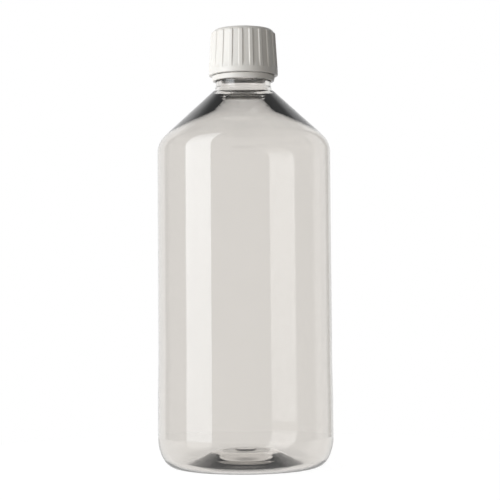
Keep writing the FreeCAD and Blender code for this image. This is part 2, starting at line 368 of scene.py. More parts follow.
top_r, top_z = under_cone(NECK_RADIUS, SHOULDER_WALL)
low_r, low_z = under_cone(NECK_RADIUS + THICK_SLOPE * math.cos(CONE_LEAN), BODY_WALL)
bore_corner = top_z + (BORE_RADIUS - top_r) * (top_z - low_z) / (top_r - low_r)
inner_panel = PANEL_RADIUS - BODY_WALL
shoulder_inside = cone_height(inner_panel) - BODY_WALL / math.cos(CONE_LEAN)
inside = rounded_section([
    (BORE_RADIUS, JOIN_HEIGHT, 0),
    (BORE_RADIUS, bore_corner, BORE_ROUNDING),
    (low_r, low_z, THICK_ROUNDING),
    (inner_panel, shoulder_inside, SHOULDER_RADIUS - BODY_WALL),
    (inner_panel, BAND_TOP + BAND_FADE, BAND_FADE_RADIUS),
    (BAND_RADIUS - BODY_WALL, BAND_TOP, BAND_FADE_RADIUS),
    *reversed(inner_heel),
    (FOOT_INNER - VALLEY_STEP, FOOT_WALL, VALLEY_ROUNDING),
    (INNER_CROWN, DOME_TOP, PUSH_UP_ROUNDING),
    (GATE_RADIUS, DOME_TOP, GATE_ROUNDING),
    (GATE_RADIUS - GATE_HEIGHT, DOME_TOP + GATE_HEIGHT, GATE_ROUNDING),
    (0, DOME_TOP + GATE_HEIGHT, 0),
])
print("inside:", len(inside), "points, the thick part ends", round(low_z / MM, 1), "mm up")

# %% [markdown]
# ## The shell
#
# A blown wall is never quite true. Its waves are a few hundredths of a millimetre high and longer
# upwards than round, and they are what makes a reflection in it look alive. A bump map would bend
# the shading only. Here the points themselves move, by a smooth noise, so what shows through bends
# too. On the outside they only move inwards, which keeps the bottle in its box, and the stiff neck
# and foot stay still.

# %% The shell with its slight waviness
SHELL_SEGMENTS = 240
INNER_WAVE = 0.035 * MM
OUTER_WAVE = 0.012 * MM
WAVE_LENGTH = Vector((26 * MM, 26 * MM, 60 * MM))
WAVE_FADE_OUT = 8 * MM
WAVE_FADE_UP = 12 * MM
INNER_WAVE_PLACE = Vector((5.3, 1.7, 9.1))


def shell_wave(r, z, angle, index):
    """Moves the skin a few hundredths of a millimetre: inwards only on the outside."""
    where = Vector((r * math.cos(angle) / WAVE_LENGTH.x, r * math.sin(angle) / WAVE_LENGTH.y,
                    z / WAVE_LENGTH.z))
    free = min(1.0, max(0.0, (r - NECK_RADIUS) / WAVE_FADE_OUT)) * min(1.0, z / WAVE_FADE_UP)
    if index < len(outside):
        return r - OUTER_WAVE * free * (0.5 + 0.5 * noise.noise(where)), z
    return r + INNER_WAVE * free * noise.noise(where + INNER_WAVE_PLACE), z


shell_mesh = turned_mesh("bottle_shell", outside + inside[1:], SHELL_SEGMENTS, shell_wave)
bottle_shell = add_piece("bottle_shell", shell_mesh, "clear_pet", "bottle")

# %% [markdown]
# ## The screw thread
#
# Under the cap the mouth carries a little over one and a half turns of thread. It is hidden while
# the cap is on, but a model that can be taken apart should have it. A Screw modifier would end it
# bluntly. Here a wedge-shaped section is carried along a helix step by step, and its ends sink back
# into the wall, as on a real mouth, so that the cap finds its way on.

# %% The thread on the mouth
THREAD_TURNS = 1.6
THREAD_PITCH = 3.2 * MM
THREAD_DEPTH = 1.0 * MM
THREAD_WIDTH = 2.0 * MM
THREAD_CREST = 0.9 * MM
THREAD_START = BEAD_TOP + 5.5 * MM
THREAD_ROOT = 0.25 * MM
THREAD_STEPS = 220
THREAD_FADE = 9      # each end fades out over one part in so many of the thread


def thread_mesh():
    vertices = []
    faces = []
    root = FINISH_RADIUS - THREAD_ROOT
    for k in range(THREAD_STEPS + 1):
        share = k / THREAD_STEPS
        angle = math.tau * THREAD_TURNS * share
        rise = THREAD_START + THREAD_PITCH * THREAD_TURNS * share
        fade = min(1.0, THREAD_FADE * share, THREAD_FADE * (1 - share))
        depth = THREAD_DEPTH * fade * fade * (3 - 2 * fade)
        crest = FINISH_RADIUS - THREAD_ROOT / 2 + depth
        for r, dz in ((root, -THREAD_WIDTH / 2), (crest, -THREAD_CREST / 2),
                      (crest, THREAD_CREST / 2), (root, THREAD_WIDTH / 2)):
            vertices.append((r * math.cos(angle), r * math.sin(angle), rise + dz))
    for k in range(THREAD_STEPS):
        a, b = 4 * k, 4 * k + 4
        faces += [(a + i, b + i, b + (i + 1) % 4, a + (i + 1) % 4) for i in range(4)]
    faces += [(3, 2, 1, 0), tuple(4 * THREAD_STEPS + i for i in range(4))]
    return finished_mesh("neck_thread", vertices, faces)


neck_thread = add_piece("neck_thread", thread_mesh(), "clear_pet")

# %% [markdown]
# ## The cap's ribs
#
# The ribs are for grip, and their edges are soft because a sharp edge in the mould would wear. Each
# stands on the leaning skirt between a plain band at the foot and the rounded top edge, and fades
# into both. They could be small solids joined to the skirt. As a wave on its radius instead, flat
# on top with sloping sides, they flow into it the way moulded ribs do.

# %% Sizes of the cap and the height of a rib
CAP_TOP = high_cap[2]
CAP_FOOT = low_cap[2]
CAP_FOOT_RADIUS = high_cap[0]
CAP_TOP_RADIUS = CAP_FOOT_RADIUS - 1.25 * MM
CAP_BAND_HEIGHT = 2.7 * MM
CAP_TURN = math.radians(-4.0)
RIB_COUNT = 20
RIB_DEPTH = 0.5 * MM
RIB_SHARE = 0.38
RIB_SLOPE = 0.10
RIB_FOOT_START = CAP_FOOT + CAP_BAND_HEIGHT - 0.1 * MM
RIB_FOOT_END = CAP_FOOT + CAP_BAND_HEIGHT + 0.7 * MM
RIB_TOP_START = CAP_TOP - 2.0 * MM
RIB_TOP_END = CAP_TOP - 1.0 * MM


def smooth(low, high, value):
    """0 below low, 1 above high, and an easy curve between."""
    t = min(1.0, max(0.0, (value - low) / (high - low)))
    return t * t * (3 - 2 * t)


def rib_height(angle, z):
    """How much of a rib stands at this place, from 0 in a flute to 1 on a crest."""
    turn = (angle - CAP_TURN) * RIB_COUNT / math.tau
    off_centre = abs(turn - round(turn))
    across = 1 - smooth(RIB_SHARE / 2 - RIB_SLOPE / 2, RIB_SHARE / 2 + RIB_SLOPE / 2, off_centre)
    above_band = smooth(RIB_FOOT_START, RIB_FOOT_END, z)
    below_top = 1 - smooth(RIB_TOP_START, RIB_TOP_END, z)
    return max(1 - above_band, across * below_top)


print("cap:", round((CAP_TOP - CAP_FOOT) / MM, 1), "mm tall,", RIB_COUNT, "ribs")

# %% [markdown]
# ## The cap
#
# The cap is an injection-moulded cup. A small dimple in the middle of its top is where the plastic
# came in: it is sunk so that the gate's stub stays below the surface. The cup is turned from one
# section, outside and inside, as the shell was, and the flutes between the ribs are sunk into the
# outside as it is turned.

# %% The cap as one turned mesh
CAP_SEGMENTS = RIB_COUNT * 32
CAP_TOP_ROUNDING = 2.4 * MM
CAP_BAND_ROUNDING = 1.0 * MM
CAP_FOOT_EASE = 0.35 * MM
CAP_FOOT_LAND = 1.2 * MM
CAP_BORE_RADIUS = 14.4 * MM
CAP_BORE_EASE = 0.3 * MM
CAP_ROOF_EASE = 0.5 * MM
DIMPLE_FLOOR = 0.9 * MM
DIMPLE_RADIUS = 1.2 * MM
DIMPLE_DEPTH = 0.25 * MM
DIMPLE_EASE = 0.2 * MM
FLUTE_START = CAP_TOP_RADIUS - 2.2 * MM
FLUTE_RUN = 1.6 * MM

cap_outside = rounded_section([
    (0, CAP_TOP - DIMPLE_DEPTH, 0),
    (DIMPLE_FLOOR, CAP_TOP - DIMPLE_DEPTH, DIMPLE_EASE),
    (DIMPLE_RADIUS, CAP_TOP, DIMPLE_EASE),
    (CAP_TOP_RADIUS, CAP_TOP, CAP_TOP_ROUNDING),
    (CAP_FOOT_RADIUS, CAP_FOOT + CAP_BAND_HEIGHT, CAP_BAND_ROUNDING),
    (CAP_FOOT_RADIUS, CAP_FOOT, CAP_FOOT_EASE),
    (CAP_FOOT_RADIUS - CAP_FOOT_LAND, CAP_FOOT, 0),
])
cap_inside = rounded_section([
    (CAP_FOOT_RADIUS - CAP_FOOT_LAND, CAP_FOOT, 0),
    (CAP_BORE_RADIUS, CAP_FOOT, CAP_BORE_EASE),
    (CAP_BORE_RADIUS, RIM_HEIGHT, CAP_ROOF_EASE),
    (0, RIM_HEIGHT, 0),
])


def cap_nudge(r, z, angle, index):
    """Sinks the flutes between the ribs into the skirt, on its outside only."""
    if index >= len(cap_outside):
        return r, z
    return r - RIB_DEPTH * (1 - rib_height(angle, z)) * smooth(0, FLUTE_RUN, r - FLUTE_START), z


cap_mesh = turned_mesh("screw_cap", cap_outside + cap_inside[1:], CAP_SEGMENTS, cap_nudge)
screw_cap = add_piece("screw_cap", cap_mesh, "white_cap", "cap")

# %% [markdown]
# ## The tamper-evident ring
#
# When the cap is first turned, its ring stays behind, because the lip on its inside has snapped
# under the bead on the neck. Here it is still whole. The ring flares towards the cap, and its foot
# is rounded where the mould closed on it. Its section is a closed loop that never touches the axis,
# so the last ring of points is joined to the first.

# %% The ring
RING_GAP = 0.35 * MM
RING_TOP = CAP_FOOT - RING_GAP
RING_BORE = NECK_RADIUS + 0.25 * MM
RING_TOP_RADIUS = high_ring[0]
RING_FOOT_RADIUS = RING_BORE + 1.25 * MM
RING_BORE_EASE = 0.2 * MM
RING_FOOT_EASE = 0.45 * MM
RING_TOP_EASE = 0.25 * MM
RING_SEAT_EASE = 0.15 * MM
RING_SEGMENTS = 180
LIP_RADIUS = NECK_RADIUS - 0.3 * MM
LIP_FOOT = GROOVE_FOOT + 0.25 * MM
LIP_TOP = LIP_FOOT + 0.4 * MM
LIP_EASE = 0.08 * MM

seam = (RING_BORE, (RING_FOOT + LIP_FOOT) / 2, 0)
ring_section = rounded_section([
    seam,
    (RING_BORE, RING_FOOT, RING_BORE_EASE),
    (RING_FOOT_RADIUS, RING_FOOT, RING_FOOT_EASE),
    (RING_TOP_RADIUS, RING_TOP, RING_TOP_EASE),
    (RING_BORE, RING_TOP, RING_SEAT_EASE),
    (RING_BORE, LIP_TOP, 0),
    (LIP_RADIUS, LIP_TOP, LIP_EASE),
    (LIP_RADIUS, LIP_FOOT, LIP_EASE),
    (RING_BORE, LIP_FOOT, 0),
    seam,
])[:-1]
ring_mesh = turned_mesh("snap_ring", ring_section, RING_SEGMENTS, ring_shape=True)
snap_ring = add_piece("snap_ring", ring_mesh, "white_cap", "tamper_ring")

# %% [markdown]
# ## The break-away bridges
#
# Thin bridges hold the ring to the cap until the first twist breaks them. Each is a small block
# with eased edges, sunk a little into both so that no gap shows. An Array modifier about an empty
# would repeat one. A loop keeps them in one mesh and puts no helper object in the scene.

# %% The bridges between ring and cap
BRIDGE_COUNT = 10
BRIDGE_DEPTH = 0.7 * MM
BRIDGE_WIDTH = 0.9 * MM
BRIDGE_EASE = 0.05 * MM
BRIDGE_FOOT = RING_TOP - 0.2 * MM
BRIDGE_TOP = CAP_FOOT + 0.02 * MM


def bridge_mesh():
    bm = bmesh.new()
    size = (BRIDGE_DEPTH, BRIDGE_WIDTH, BRIDGE_TOP - BRIDGE_FOOT)
    place = ((RING_TOP_RADIUS + RING_BORE) / 2, 0, (BRIDGE_FOOT + BRIDGE_TOP) / 2)
    for k in range(BRIDGE_COUNT):
        verts = bmesh.ops.create_cube(bm, size=1)["verts"]
        bmesh.ops.scale(bm, vec=size, verts=verts)
        bmesh.ops.translate(bm, vec=place, verts=verts)
        turn = Matrix.Rotation(CAP_TURN + math.tau * k / BRIDGE_COUNT, 3, "Z")
        bmesh.ops.rotate(bm, cent=(0, 0, 0), matrix=turn, verts=verts)
    bmesh.ops.bevel(bm, geom=bm.edges, offset=BRIDGE_EASE, segments=1, affect="EDGES")
    mesh = bpy.data.meshes.new("break_away_bridges")
    bm.to_mesh(mesh)
    bm.free()
    return mesh


bridges = add_piece("break_away_bridges", bridge_mesh(), "white_cap")

# %% [markdown]
# ## Building blocks for the finishes
#
# A finish is a small machine of nodes. Wiring each node by hand takes several lines, and the same
# few kinds come back all the time: a sum, a noise, a range. So each kind gets one short function
# that makes the node, wires it and gives back the socket to go on with.

# %% Helpers for node groups
def new_group(name, inputs, outputs):
    group = bpy.data.node_groups.new(name, "ShaderNodeTree")
    for label, kind, value in inputs:
        socket = group.interface.new_socket(label, in_out="INPUT", socket_type=kind)
        socket.default_value = value
    for label, kind in outputs:
        group.interface.new_socket(label, in_out="OUTPUT", socket_type=kind)
    return group, group.nodes.new("NodeGroupInput"), group.nodes.new("NodeGroupOutput")


def math_node(tree, operation, a, b):
    """A Math node whose inputs are sockets or numbers."""
    node = tree.nodes.new("ShaderNodeMath")
    node.operation = operation
    for socket, value in zip(node.inputs, (a, b)):
        if isinstance(value, (int, float)):
            socket.default_value = value
        else:
            tree.links.new(value, socket)
    return node.outputs[0]


def noise_node(tree, scale, detail, vector):
    """A Noise Texture whose scale comes from a socket."""
    node = tree.nodes.new("ShaderNodeTexNoise")
    node.inputs["Detail"].default_value = detail
    tree.links.new(scale, node.inputs["Scale"])
    tree.links.new(vector, node.inputs["Vector"])
    return node.outputs["Fac"]


print("node helpers are ready")

# %% [markdown]
# ## Mould skin
#
# Every moulded surface copies the fine unevenness of its mould, and is a little rougher in some
# patches than in others. Both plastics have it, so it is a node group, built once, with its scales
# as inputs. It puts out a height and a mask, and leaves it to each material what to do with them.
# A painted texture could hold the same, but noise in the object's own space needs no unwrapping.

# %% The mould skin group
GRAIN_DETAIL = 2.0
PATCH_DETAIL = 3.0


def mould_skin_group():
    """Height of a mould's fine unevenness, and patches from 0 to 1."""
    group, inside_node, outside_node = new_group(
        "mould_skin",
        [("Grain Scale", "NodeSocketFloat", 900.0), ("Patch Scale", "NodeSocketFloat", 30.0)],
        [("Height", "NodeSocketFloat"), ("Patches", "NodeSocketFloat")])
    where = group.nodes.new("ShaderNodeTexCoord").outputs["Object"]
    grain = noise_node(group, inside_node.outputs["Grain Scale"], GRAIN_DETAIL, where)
    patches = noise_node(group, inside_node.outputs["Patch Scale"], PATCH_DETAIL, where)
    group.links.new(grain, outside_node.inputs["Height"])
    group.links.new(patches, outside_node.inputs["Patches"])
    return group


mould_skin = mould_skin_group()
print("node group:", mould_skin.name)

# %% [markdown]
# ## Handling
#
# Even a new bottle has been through a box and a few hands, which leaves faint scuffs that dull the
# gloss. They run mostly upwards, as a bottle slides in and out upright, so the noise is stretched
# that way. Only its peaks count: the rest of the surface stays clean.

# %% The handling group
SCUFF_DETAIL = 6.0
SCUFF_STRETCH = 0.35
SCUFF_LEVEL = 0.52
SCUFF_STEEPNESS = 6.0


def handling_group():
    """Faint upright scuffs, as a mask from 0 to the given amount."""
    group, inside_node, outside_node = new_group(
        "handling",
        [("Scale", "NodeSocketFloat", 60.0), ("Amount", "NodeSocketFloat", 0.5)],
        [("Scuffs", "NodeSocketFloat")])
    where = group.nodes.new("ShaderNodeTexCoord").outputs["Object"]
    stretch = group.nodes.new("ShaderNodeMapping")
    stretch.inputs["Scale"].default_value = (1.0, 1.0, SCUFF_STRETCH)
    group.links.new(where, stretch.inputs["Vector"])
    field = noise_node(
        group, inside_node.outputs["Scale"], SCUFF_DETAIL, stretch.outputs["Vector"])
    over = math_node(group, "SUBTRACT", field, SCUFF_LEVEL)
    lifted = math_node(group, "MULTIPLY", over, SCUFF_STEEPNESS)
    clamped = group.nodes.new("ShaderNodeClamp")
    group.links.new(lifted, clamped.inputs["Value"])
    scaled = math_node(group, "MULTIPLY", clamped.outputs[0], inside_node.outputs["Amount"])
    group.links.new(scaled, outside_node.inputs["Scuffs"])
    return group


handling = handling_group()
print("node group:", handling.name)

# %% [markdown]
# ## From mask to finish
#
# A mask runs from 0 to 1, and a finish wants a roughness, a colour or a normal. These helpers do
# that last step. The range helper can also bend the mask into an easy S-curve, which hides where a
# change begins and ends.

# %% Helpers for materials
FIRST_COLOUR, SECOND_COLOUR = 6, 7      # a Mix node has a pair of inputs for each kind of data
MIXED_COLOUR = 2


def placed_group(tree, group, values):
    """A node group in a material, with its own values."""
    node = tree.nodes.new("ShaderNodeGroup")
    node.node_tree = group
    for label, value in values.items():
        node.inputs[label].default_value = value
    return node


def range_node(tree, value, low, high, start=0.0, end=1.0, easy=False):
    """low where value is start or less, high where it is end or more."""
    node = tree.nodes.new("ShaderNodeMapRange")
    node.interpolation_type = "SMOOTHSTEP" if easy else "LINEAR"
    node.inputs["From Min"].default_value = start
    node.inputs["From Max"].default_value = end
    node.inputs["To Min"].default_value = low
    node.inputs["To Max"].default_value = high
    tree.links.new(value, node.inputs["Value"])
    return node.outputs["Result"]


def choose(tree, factor, first, second):
    """A colour mix whose two inputs are sockets or plain colours."""
    node = tree.nodes.new("ShaderNodeMix")
    node.data_type = "RGBA"
    tree.links.new(factor, node.inputs["Factor"])
    for place, value in ((FIRST_COLOUR, first), (SECOND_COLOUR, second)):
        if isinstance(value, tuple):
            node.inputs[place].default_value = (*value, 1)
        else:
            tree.links.new(value, node.inputs[place])
    return node.outputs[MIXED_COLOUR]


def bump_normal(tree, height, strength, distance):
    node = tree.nodes.new("ShaderNodeBump")
    node.inputs["Strength"].default_value = strength
    node.inputs["Distance"].default_value = distance
    tree.links.new(height, node.inputs["Height"])
    return node.outputs["Normal"]


def new_material(name):
    material = bpy.data.materials.new(name)
    material.use_nodes = True
    return material, material.node_tree, material.node_tree.nodes["Principled BSDF"]


print("material helpers are ready")

# %% [markdown]
# ## Clear PET
#
# PET bends light more than window glass does, with an index of refraction of about 1.575, and this
# one has a faint warm grey tint. A Glass BSDF would do for the bending alone. The Principled shader
# is used because other programs can read it. Its base colour tints what passes through. The surface
# is nearly a mirror: roughness stays very low and rises only where it is scuffed.

# %% The clear PET material
PET_INDEX = 1.575
PET_TINT = (0.872, 0.855, 0.835)
PATCH_DARKENING = 0.985
PET_CLEAN = 0.012
PET_SCUFFED = 0.05


def clear_pet():
    material, tree, shader = new_material("clear_pet")
    skin = placed_group(tree, mould_skin, {"Grain Scale": 140.0, "Patch Scale": 25.0})
    wear = placed_group(tree, handling, {"Scale": 70.0, "Amount": 0.35})
    darker = tuple(PATCH_DARKENING * c for c in PET_TINT)
    tint = choose(tree, skin.outputs["Patches"], PET_TINT, darker)
    roughness = range_node(tree, wear.outputs["Scuffs"], PET_CLEAN, PET_SCUFFED)
    normal = bump_normal(tree, skin.outputs["Height"], strength=0.02, distance=0.2 * MM)
    tree.links.new(tint, shader.inputs["Base Color"])
    tree.links.new(roughness, shader.inputs["Roughness"])
    tree.links.new(normal, shader.inputs["Normal"])
    shader.inputs["IOR"].default_value = PET_INDEX
    shader.inputs["Transmission Weight"].default_value = 1.0
    return material


pet = clear_pet()
for piece in (bottle_shell, neck_thread):
    piece.data.materials.append(pet)
    print(piece.name, "is", pet.name)

# %% [markdown]
# ## White polypropylene
#
# The cap's plastic is opaque white with a satin skin. Light goes a little way into it, which
# softens the ribs' edges, so it has some subsurface scattering. Its colour is not pure white:
# a white pigment in polypropylene reflects about three quarters of the light, slightly warm.

# %% The white plastic material
CAP_WHITE = (0.77, 0.755, 0.73)
CAP_SHADE = (0.735, 0.72, 0.69)
CAP_CLEAN = 0.34
CAP_SCUFFED = 0.5
CAP_INDEX = 1.49
CAP_GLOW = 0.15
CAP_GLOW_DEPTH = 0.6 * MM
CAP_GLOW_SPREAD = (1.0, 0.9, 0.8)


def white_cap():
    material, tree, shader = new_material("white_cap")
    skin = placed_group(tree, mould_skin, {"Grain Scale": 2600.0, "Patch Scale": 120.0})
    wear = placed_group(tree, handling, {"Scale": 220.0, "Amount": 0.6})
    colour = choose(tree, skin.outputs["Patches"], CAP_WHITE, CAP_SHADE)
    roughness = range_node(tree, wear.outputs["Scuffs"], CAP_CLEAN, CAP_SCUFFED)
    normal = bump_normal(tree, skin.outputs["Height"], strength=0.12, distance=0.05 * MM)
    tree.links.new(colour, shader.inputs["Base Color"])
    tree.links.new(roughness, shader.inputs["Roughness"])
    tree.links.new(normal, shader.inputs["Normal"])
    shader.inputs["IOR"].default_value = CAP_INDEX
    shader.inputs["Subsurface Weight"].default_value = CAP_GLOW
    shader.inputs["Subsurface Radius"].default_value = CAP_GLOW_SPREAD
    shader.inputs["Subsurface Scale"].default_value = CAP_GLOW_DEPTH
    return material


white = white_cap()
for piece in (screw_cap, snap_ring, bridges):
    piece.data.materials.append(white)
    print(piece.name, "is", white.name)

# %% [markdown]
# ## The light tent's wall
#
# Clear plastic shows only what it bends and mirrors, so the room matters more than the lamps. A
# tent of cloth stands round the bottle: white behind it, and in grey and dark strips at its sides,
# which the curved wall mirrors as the soft bands near its edges. The tent could be built of panels.
# It is far away next to the bottle, so the world's background can hold it as greys by direction.

# %% The tent's greys
# Degrees round the bottle and the cloth's grey there: 0 is straight behind it, 90 is to its right.
TENT_WALL = [
    (-180, 0.30), (-92, 0.42), (-66, 0.42), (-60, 0.22), (-54, 0.22), (-48, 1.0),
    (12, 1.0), (22, 0.78), (28, 0.78), (33, 0.15), (41, 0.15), (47, 0.68),
    (72, 0.68), (78, 0.14), (130, 0.14), (180, 0.30)]


def tent_wall(tree, x, y):
    """The tent's grey in the direction (x, y)."""
    turn = math_node(tree, "ARCTAN2", x, y)
    turn = math_node(tree, "DIVIDE", turn, math.tau)
    turn = math_node(tree, "ADD", turn, 0.5)
    ramp = tree.nodes.new("ShaderNodeValToRGB")
    stops = ramp.color_ramp.elements
    made_with_ramp = len(stops)
    for k, (degrees, grey) in enumerate(TENT_WALL):
        place = degrees / 360 + 0.5
        stop = stops[k] if k < made_with_ramp else stops.new(place)
        stop.position = place
        stop.color = (grey, grey, grey, 1)
    tree.links.new(turn, ramp.inputs["Fac"])
    return ramp.outputs["Color"]


print("the tent has", len(TENT_WALL), "greys")

# %% [markdown]
# ## The tent as a world
#
# The tent's roof is open to a dark ceiling. The thin body looks through to the white cloth. The
# thick shoulder bends the view up into the dark, and that draws its outline. The ceiling starts
# softly, so the dark has a soft edge as well.
#
# One background has several jobs, and Light Path tells them apart. The camera sees plain white. A
# ray that came through the plastic sees the slightly greyer backdrop. A mirrored ray sees the
# strips of cloth. A matt surface is lit by the cloth as a warm fill that is strongest from the
# front left, which rounds the cap. Lamps could do that too, but each would show in the wall.

# %% The world
CEILING_START = 0.52
CEILING_END = 0.78
CEILING_GREY = (0.10,) * 3
CEILING_SHEEN = (0.30,) * 3
CEILING_FILL = (0.20,) * 3
FILL_GAIN = 1.37
FILL_SIDE = (-0.76, -0.72, 0.0)
FILL_TINT = (1.0, 0.965, 0.91)
BACKDROP_THROUGH = (0.93, 0.925, 0.915)
WHITE = (1.0, 1.0, 1.0)


def vector_node(tree, operation, vector, other=None):
    """A Vector Math node. other is a plain vector, or the socket that scales."""
    node = tree.nodes.new("ShaderNodeVectorMath")
    node.operation = operation
    tree.links.new(vector, node.inputs[0])
    if operation == "SCALE":
        tree.links.new(other, node.inputs["Scale"])
    elif other is not None:
        node.inputs[1].default_value = other
    return node.outputs["Value" if operation in ("DOT_PRODUCT", "LENGTH") else "Vector"]


def warm_fill(tree, way, wall):
    """The cloth's light on matt surfaces: tinted, and stronger from FILL_SIDE."""
    strength = math_node(tree, "ADD", vector_node(tree, "DOT_PRODUCT", way, FILL_SIDE), 1.0)
    strength = math_node(tree, "MAXIMUM", strength, 0.0)
    strength = math_node(tree, "MULTIPLY", strength, FILL_GAIN)
    return vector_node(tree, "MULTIPLY", vector_node(tree, "SCALE", wall, strength), FILL_TINT)


def studio_world():
    world = bpy.data.worlds.new("studio")
    bpy.context.scene.world = world
    world.use_nodes = True
    tree = world.node_tree
    way = tree.nodes.new("ShaderNodeTexCoord").outputs["Generated"]
    parts = tree.nodes.new("ShaderNodeSeparateXYZ")
    tree.links.new(way, parts.inputs[0])
    roof = range_node(tree, parts.outputs["Z"], 0.0, 1.0, CEILING_START, CEILING_END, easy=True)
    wall = tent_wall(tree, parts.outputs["X"], parts.outputs["Y"])
    mirrored = choose(tree, roof, wall, CEILING_SHEEN)
    fill = choose(tree, roof, warm_fill(tree, way, wall), CEILING_FILL)
    through = choose(tree, roof, BACKDROP_THROUGH, CEILING_GREY)
    path = tree.nodes.new("ShaderNodeLightPath")
    colour = choose(tree, path.outputs["Is Diffuse Ray"], mirrored, fill)
    colour = choose(tree, path.outputs["Is Transmission Ray"], colour, through)
    colour = choose(tree, path.outputs["Is Camera Ray"], colour, WHITE)
    tree.links.new(colour, tree.nodes["Background"].inputs["Color"])
    return world


world = studio_world()
print("world:", world.name, "with", len(world.node_tree.nodes), "nodes")

# %% [markdown]
# ## The soft box
#
# One tall soft box stands on the left. It is the long bright strip in the near wall, and again,
# mirrored, in the hollow far wall. An area light with plain emission would give a strip of one
# even tone. Real cloth fades away from its bulb, so this one is dimmer at its foot and its top and
# towards its far edge. It hangs lower than the floor, as the table is small and the box stands
# beyond it.

# %% The soft box
BOX_LIGHT = 2.58
BOX_TINT = (0.955, 1.0, 1.04)
BOX_SIZE = (0.27, 0.68)
BOX_MIDDLE_HEIGHT = 0.17
BOX_NEAR_EDGE = Vector((-0.133, -0.160, 0))
BOX_FAR_EDGE = Vector((-0.387, -0.071, 0))
FAR_EDGE_FADE = 0.14
FAR_EDGE_SHARE = 0.25
FOOT_FROM = 0.1
FOOT_SHARE = 0.45
FULL_FROM = 0.55
TOP_SHARE = 0.30


def soft_box(name, near, far):
    """An upright soft box between two edges, brightest near half height."""
    data = bpy.data.lights.new(name, "AREA")
    data.shape = "RECTANGLE"
    data.size, data.size_y = BOX_SIZE
    data.energy = BOX_LIGHT * math.pi * BOX_SIZE[0] * BOX_SIZE[1]
    data.color = BOX_TINT
    data.use_nodes = True
    tree = data.node_tree
    cloth = tree.nodes.new("ShaderNodeSeparateXYZ")
    tree.links.new(tree.nodes.new("ShaderNodeNewGeometry").outputs["Parametric"], cloth.inputs[0])
    across, up = cloth.outputs["X"], cloth.outputs["Y"]
    far_fade = range_node(tree, across, FAR_EDGE_SHARE, 1.0, end=FAR_EDGE_FADE, easy=True)
    foot_fade = range_node(tree, up, FOOT_SHARE, 1.0, FOOT_FROM, FULL_FROM)
    top_fade = range_node(tree, up, 1.0, TOP_SHARE, FULL_FROM, 1.0)
    shine = math_node(tree, "MULTIPLY", far_fade, math_node(tree, "MULTIPLY", foot_fade, top_fade))
    tree.links.new(shine, tree.nodes["Emission"].inputs["Strength"])
    lamp = bpy.data.objects.new(name, data)
    middle = (near + far) / 2
    lamp.location = (middle.x, middle.y, BOX_MIDDLE_HEIGHT)
    turn = math.atan2(far.y - near.y, far.x - near.x) + math.pi
    lamp.rotation_euler = (math.pi / 2, 0, turn)
    lamp.visible_camera = False
    bpy.context.scene.collection.objects.link(lamp)
    return lamp


key = soft_box("key_soft_box", BOX_NEAR_EDGE, BOX_FAR_EDGE)
print("soft box at", [round(v, 3) for v in key.location])

# %% [markdown]
# ## The painted pool of light on the floor
#
# The soft box stands close by, and a pool of its light is painted on the floor before it. The
# rounded heel tips its mirror image down into that pool, so the bright strip in the wall runs out
# softly at its foot where it would otherwise be cut off. The near and the far wall look at it from
# different places, and each sees it between the box's two edges. The pool is a painted glow that
# only mirrored rays see, not light from the lamp, so the floor that the camera sees stays plain.

# %% The helper for a pool of light
POOL_START = 0.055
POOL_END = 0.12
POOL_EDGE = 0.03
POOL_FAR_EDGE = 0.06


def smooth_step(tree, value, low, high):
    """0 below low and 1 above high, or the other way round when low is the larger."""
    ends = (0.0, 1.0) if low < high else (1.0, 0.0)
    return range_node(tree, value, *ends, min(low, high), max(low, high), easy=True)


def painted_light_pool(tree, place, reach, eye):
    """How much painted light pools on the floor, between the box's edges as seen from eye."""
    across = math_node(tree, "SUBTRACT", place.outputs["X"], eye.x)
    along = math_node(tree, "SUBTRACT", place.outputs["Y"], eye.y)
    turned = math_node(tree, "ARCTAN2", along, across)
    near, far = BOX_NEAR_EDGE - eye, BOX_FAR_EDGE - eye
    near, far = math.atan2(near.y, near.x), math.atan2(far.y, far.x)
    pool = math_node(tree, "MULTIPLY",
                     smooth_step(tree, turned, near + POOL_EDGE, near - POOL_EDGE),
                     smooth_step(tree, turned, far - POOL_EDGE, far + POOL_FAR_EDGE))
    return math_node(tree, "MULTIPLY", pool, smooth_step(tree, reach, POOL_START, POOL_END))


print("the pool fades in from", POOL_START / MM, "to", POOL_END / MM, "mm from the middle")

# %% [markdown]
# ## The floor's finish
#
# The floor is plain, pale and matt. Away from the bottle it is lifted to the backdrop's white, so
# that the two run into each other unseen. Near the foot the lift fades out by distance from the
# middle, a painted shadow whose edge the mask draws; inside it the floor is left to its own light,
# keeps the bottle's real soft shadow, and the hollow base looks down into it. Through the plastic
# it is nearly as bright as the backdrop, so that hardly a line shows where the table ends. In a
# mirror the floor shows a painted reflection: a glow, bright behind the bottle and dark in front.

# %% The floor's material
FLOOR_COLOUR = (0.82, 0.82, 0.81)
FLOOR_ROUGHNESS = 0.9
FLOOR_LIFT = 0.85
FLOOR_GLOW = 1.14
FLOOR_THROUGH = 1.08
# Nearer the middle than this the glow is left out: painted shadow over the floor's own shading.
LIFT_START = 0.0255
LIFT_END = 0.032
# Painted reflection: the floor's glow in a mirror, dim in front and turning bright behind.
PAINTED_REFLECTION_FRONT = 0.36
PAINTED_REFLECTION_TURN_START = -0.060
PAINTED_REFLECTION_TURN_END = -0.015
# The painted pool of light: its glow in the near wall's mirror and in the far wall's.
POOL_LIGHT = 1.5
POOL_EYE = Vector((-0.020, -0.036, 0))
FAR_POOL_LIGHT = 0.9
FAR_POOL_EYE = Vector((0.020, 0.038, 0))


def glow_seen(tree, path):
    """The floor's glow for the camera and for what comes through the plastic."""
    direct = math_node(tree, "MULTIPLY", path.outputs["Is Camera Ray"], FLOOR_GLOW)
    through = math_node(tree, "MULTIPLY", path.outputs["Is Transmission Ray"], FLOOR_THROUGH)
    return math_node(tree, "MAXIMUM", direct, through)


